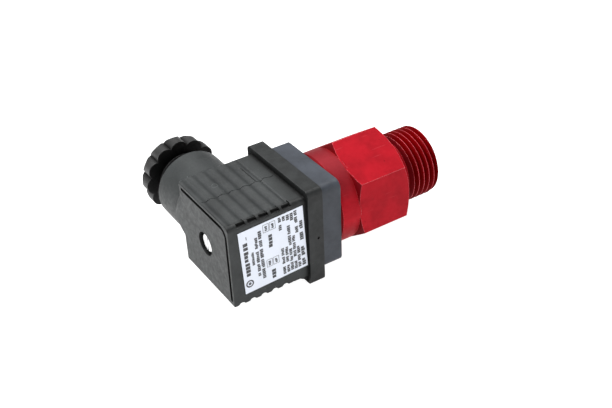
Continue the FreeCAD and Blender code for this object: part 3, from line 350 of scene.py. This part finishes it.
def anodised(name, colour):
    """Red anodised aluminium: turning lines, blotches, painted highlights on sharp edges, small dents,
    scratches, and painted shade on the neck's top, on faces towards the base and in corners.
    """
    shader = Shader(name, colour, 0.5, 0.72)
    shader.soft_edges(0.15 * MM)
    blotch = shader.span(shader.noise(170, 4.0), 0.35, 0.68, 0.0, 1.0)
    tone = shader.mix(blotch, scaled(colour, 0.84), scaled(colour, 1.08))
    speck = shader.spots(420, 0.05, 0.15)
    sparse = shader.span(shader.noise(260), 0.54, 0.58, 0.0, 1.0)
    marks = shader.maths("MULTIPLY", speck, sparse)
    tone = shader.mix(shader.maths("MULTIPLY", marks, 0.5), tone, scaled(colour, 0.45))
    # Painted highlight: sharp edges are painted pale red.
    edge_highlight = shader.maths("MULTIPLY", shader.edges(0.3 * MM, 0.04, 0.12), 0.9)
    tone = shader.mix(edge_highlight, tone, RED_HIGHLIGHT_AND_SCRATCH)
    scratch = shader.span(shader.noise(110, 1.0, stretch=(1, 22, 22)), 0.72, 0.77, 0.0, 0.14)
    tone = shader.mix(scratch, tone, RED_HIGHLIGHT_AND_SCRATCH)
    # Painted shade: the turned chamfer and flanks that face the base are painted darker.
    tone = shader.mix(shader.facing(0, -0.55, -0.3), scaled(colour, 0.45), tone)
    # Painted shade: where the neck faces up it is painted darker and less saturated.
    origin = frame["nodes"]["port_body"].matrix_world.translation
    neck = shader.maths("SUBTRACT", 1.0, shader.along(0, HEXAGON_BACK - origin.x, 0.3 * MM))
    neck_top_shade = shader.maths("MULTIPLY", neck, shader.facing(2, 0.35, 0.9))
    tone = shader.mix(neck_top_shade, tone, (colour[0] * 0.62, colour[1] * 2.2, colour[2] * 1.5))
    # Painted shade: corners and thread grooves are painted dark red.
    open_part = shader.crevices(2.0 * MM, 3.4)
    shader.paint(shader.mix(open_part, (colour[0] * 0.46, 0.0, 0.0), tone))
    shader.feed(shader.bsdf.inputs["Specular IOR Level"], shader.span(open_part, 0.5, 1.0, 0.0, 0.12))
    shader.feed(shader.bsdf.inputs["Roughness"], shader.span(shader.noise(800), 0.3, 0.7, 0.56, 0.68))
    shader.bump(shader.noise(90, 2.0, stretch=(60, 1, 1)), 0.01 * MM, 0.3)
    shader.bump(shader.noise(2500, 3.0), 0.02 * MM, 0.2)
    shader.bump(marks, -0.05 * MM, 0.5)
    return shader.material


def metal(name, colour, roughness=0.3, lines=(1, 1, 1)):
    """Plated or turned metal with fine machining lines and painted shade in its corners."""
    shader = Shader(name, colour, roughness, 1.0)
    shader.soft_edges(0.06 * MM)
    cloud = shader.span(shader.noise(500, 4.0), 0.35, 0.65, 0.0, 1.0)
    tone = shader.mix(cloud, scaled(colour, 0.82), scaled(colour, 1.05))
    # Painted shade: corners are painted darker.
    shader.paint(shader.mix(shader.crevices(0.3 * MM), scaled(colour, 0.4), tone))
    shader.feed(shader.bsdf.inputs["Roughness"],
                shader.span(shader.noise(1500), 0.3, 0.7, roughness - 0.08, roughness + 0.12))
    shader.bump(shader.noise(1200, 3.0, stretch=lines), 0.004 * MM, 0.2)
    return shader.material


def rubber(name, colour):
    shader = Shader(name, colour, 0.75)
    shader.soft_edges(0.1 * MM)
    bloom = shader.span(shader.noise(300, 4.0), 0.4, 0.7, 0.0, 0.5)
    shader.paint(shader.mix(bloom, colour, scaled(colour, 1.9)))
    shader.bump(shader.noise(3500, 3.0), 0.03 * MM, 0.4)
    return shader.material


def label_film(name, colour):
    """White printed film: faint orange peel and a faintly cloudy tone."""
    shader = Shader(name, colour, 0.38)
    cloud = shader.span(shader.noise(160, 3.0), 0.35, 0.65, 0.0, 1.0)
    shader.paint(shader.mix(cloud, scaled(colour, 0.95), colour))
    shader.feed(shader.bsdf.inputs["Roughness"], shader.span(shader.noise(700), 0.3, 0.7, 0.3, 0.45))
    shader.bump(shader.noise(900, 2.0), 0.02 * MM, 0.15)
    return shader.material


def ink(name, colour):
    shader = Shader(name, colour, 0.5)
    fade = shader.span(shader.noise(2600, 3.0), 0.5, 0.8, 0.0, 0.35)
    shader.paint(shader.mix(fade, colour, INK_WORN))
    shader.bump(shader.noise(5000), 0.005 * MM, 0.3)
    return shader.material


def dress_nodes():
    """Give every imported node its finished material, chosen by its material slot."""
    finishes = {
        "red_anodised": anodised("red_anodised_finish", RED),
        "black_plastic": moulded_plastic("housing_finish", (0.0222, 0.0243, 0.0245), edge_wear_and_highlight=0.45,
                                         shade=4.0, depth=2.5, extra=housing_details),
        "nut_plastic": moulded_plastic("nut_finish", (0.024, 0.024, 0.024), 0.42, edge_wear_and_highlight=0.45,
                                       shade=5.0, depth=3.0, extra=nut_back_shade),
        "blue_grey_plastic": moulded_plastic("base_finish", (0.0345, 0.039, 0.048), 0.48,
                                             edge_wear_and_highlight=0.1, shade=1.5),
        "plate_plastic": moulded_plastic("plate_finish", (0.05, 0.06, 0.07), 0.55),
        "block_plastic": moulded_plastic("block_finish", (0.03, 0.03, 0.03), 0.5),
        "switch_plastic": moulded_plastic("switch_finish", (0.02, 0.02, 0.022), 0.45),
        "plunger_plastic": moulded_plastic("plunger_finish", (0.5, 0.1, 0.05), 0.4, shade=0.4),
        "steel": metal("zinc_finish", (0.95, 0.96, 0.97), 0.42),
        "spring_steel": metal("spring_finish", (0.5, 0.5, 0.5), 0.35),
        "brass": metal("brass_finish", (0.78, 0.57, 0.25), 0.3, (30, 1, 1)),
        "contact_metal": metal("contact_finish", (0.8, 0.76, 0.66), 0.36, (1, 8, 8)),
        "rubber": rubber("rubber_finish", (0.022, 0.022, 0.022)),
        "label_film": label_film("label_finish", (0.62, 0.655, 0.73)),
    }
    for part in frame["record"]["subparts"]:
        node = frame["nodes"][part["node"]]
        finish = finishes[part["material_slot"]]
        if not node.material_slots:
            node.data.materials.append(finish)
        for slot in node.material_slots:
            slot.material = finish


# ---- label print ----------------------------------------------------------------------------------

LABEL_LENGTH = 19.65 * MM
LABEL_HEIGHT = 20.05 * MM
LABEL_TURN = math.radians(2.4)
# Each line of print runs up the label: its place across, how wide it is, and where its words start
# and end, in millimetres from the label's lower corner at the end face.
PRINT_LINES = (
    (1.65, 1.35, ((5.4, 9.9), (10.1, 13.6), (13.9, 16.4))),
    (3.45, 0.75, ((8.2, 12.5),)),
    (4.85, 0.95, ((3.9, 5.0), (5.5, 8.0), (8.4, 12.1), (13.0, 16.6))),
    (6.15, 1.00, ((2.5, 5.8), (6.2, 9.0), (9.4, 12.3), (13.0, 15.2), (15.6, 18.2))),
    (9.10, 1.25, ((1.1, 4.2), (11.5, 15.8))),
    (12.35, 0.90, ((0.7, 3.2), (4.2, 6.6), (7.0, 9.5), (15.4, 17.2), (18.0, 19.6))),
    (13.60, 0.90, ((0.8, 3.2), (4.3, 6.2), (6.6, 9.4), (17.9, 19.5))),
    (14.80, 0.95, ((0.9, 3.6), (4.0, 5.6), (6.0, 8.2), (9.3, 12.6), (13.0, 15.9), (17.6, 19.5))),
    (16.00, 0.95, ((0.8, 3.4), (4.9, 7.0), (7.4, 9.6), (10.0, 12.0), (17.0, 19.5))),
    (17.20, 0.95, ((0.8, 2.6), (3.0, 5.0), (5.5, 7.9), (12.4, 14.5), (15.6, 17.6), (18.0, 19.7))),
    (18.55, 1.15, ((0.8, 3.1), (4.1, 7.2), (9.4, 12.0), (13.1, 15.8))),
)
# Each outlined stamp: its centre across and up the label, its width and its length.
PRINT_FRAMES = (
    (8.15, 18.05, 1.7, 2.4),
    (10.15, 18.05, 1.7, 2.4),
    (8.15, 6.6, 1.7, 2.3),
    (10.15, 6.6, 1.7, 2.3),
)
STAMP_WORD_WIDTH = 0.75
STAMP_WORD_REACH = 0.32
BOLD_WIDTH = 1.2
# The double ring: its centre, and each ring's outer radius and line.
RING_CENTRE = (1.6, 2.85)
RINGS = ((1.2, 0.42), (0.45, 0.4))
DASH = (2.2, 17.1, 0.22, 1.0)
PRINT_LIFT = 0.012 * MM


class LabelPrint:
    """Flat marks on the label, placed by their distance from its lower corner at the end face."""

    def __init__(self, name):
        low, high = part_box("label")
        self.centre = ((low[0] + high[0]) / 2, (low[2] + high[2]) / 2)
        self.depth = low[1] - PRINT_LIFT
        self.mesh = bmesh.new()
        self.name = name

    def corner(self, across, up):
        """A point of the label's face as a vertex; across and up are in millimetres."""
        x = across * MM - LABEL_LENGTH / 2
        z = up * MM - LABEL_HEIGHT / 2
        cos, sin = math.cos(-LABEL_TURN), math.sin(-LABEL_TURN)
        place = (self.centre[0] + x * cos + z * sin, self.depth, self.centre[1] - x * sin + z * cos)
        return self.mesh.verts.new(place)

    def patch(self, points):
        self.mesh.faces.new([self.corner(*p) for p in points])

    def bar(self, across, up, width, length):
        """A bar with its centre line at across, which starts at up and runs up the label."""
        left, right = across - width / 2, across + width / 2
        self.patch([(left, up), (right, up), (right, up + length), (left, up + length)])

    def word(self, dice, across, width, start, end, bold=False):
        """A stand-in for a printed word: a row of plain separate blocks of uneven height."""
        pitch = width * (0.8 if bold else 0.6)
        count = max(1, round((end - start) / pitch))
        step = (end - start) / count
        for i in range(count):
            tall = width * dice.choice((1.0, 1.0, 0.9, 0.8))
            shift = (width - tall) * dice.choice((-0.5, 0.5))
            self.bar(across + shift, start + i * step, tall, step * dice.uniform(0.78, 0.93))

    def frame(self, across, up, width, length, line=0.13):
        """A thin rectangular outline round a point."""
        left, low = across - width / 2, up - length / 2
        self.bar(left, low, line, length)
        self.bar(left + width, low, line, length)
        self.bar(across, low, width, line)
        self.bar(across, low + length, width, line)

    def ring(self, across, up, radius, line, count=28):
        for i in range(count):
            angles = (2 * math.pi * i / count, 2 * math.pi * (i + 1) / count)
            points = [(across + r * math.cos(a), up + r * math.sin(a))
                      for r, a in ((radius, angles[0]), (radius, angles[1]),
                                   (radius - line, angles[1]), (radius - line, angles[0]))]
            self.patch(points)

    def finish(self, material):
        self.mesh.normal_update()
        for face in self.mesh.faces:
            if face.normal.y > 0:
                face.normal_flip()
        data = bpy.data.meshes.new(self.name)
        self.mesh.to_mesh(data)
        self.mesh.free()
        piece = bpy.data.objects.new(self.name, data)
        scene.collection.objects.link(piece)
        data.materials.append(material)
        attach(piece, "connector")


def print_label():
    """Rows of blocks, outlined stamps, a double ring and a dash, which form no letters."""
    dice = random.Random(7)
    sheet = LabelPrint("label_print")
    for across, width, words in PRINT_LINES:
        for start, end in words:
            sheet.word(dice, across, width, start, end, width > BOLD_WIDTH)
    for across, up, width, length in PRINT_FRAMES:
        sheet.frame(across, up, width, length)
        reach = length * STAMP_WORD_REACH
        sheet.word(dice, across, STAMP_WORD_WIDTH, up - reach, up + reach)
    for radius, line in RINGS:
        sheet.ring(*RING_CENTRE, radius, line)
    sheet.bar(*DASH)
    sheet.finish(ink("label_ink", INK))


def main():
    make_camera()
    make_light()
    make_floor()
    dress_nodes()
    print_label()


main()
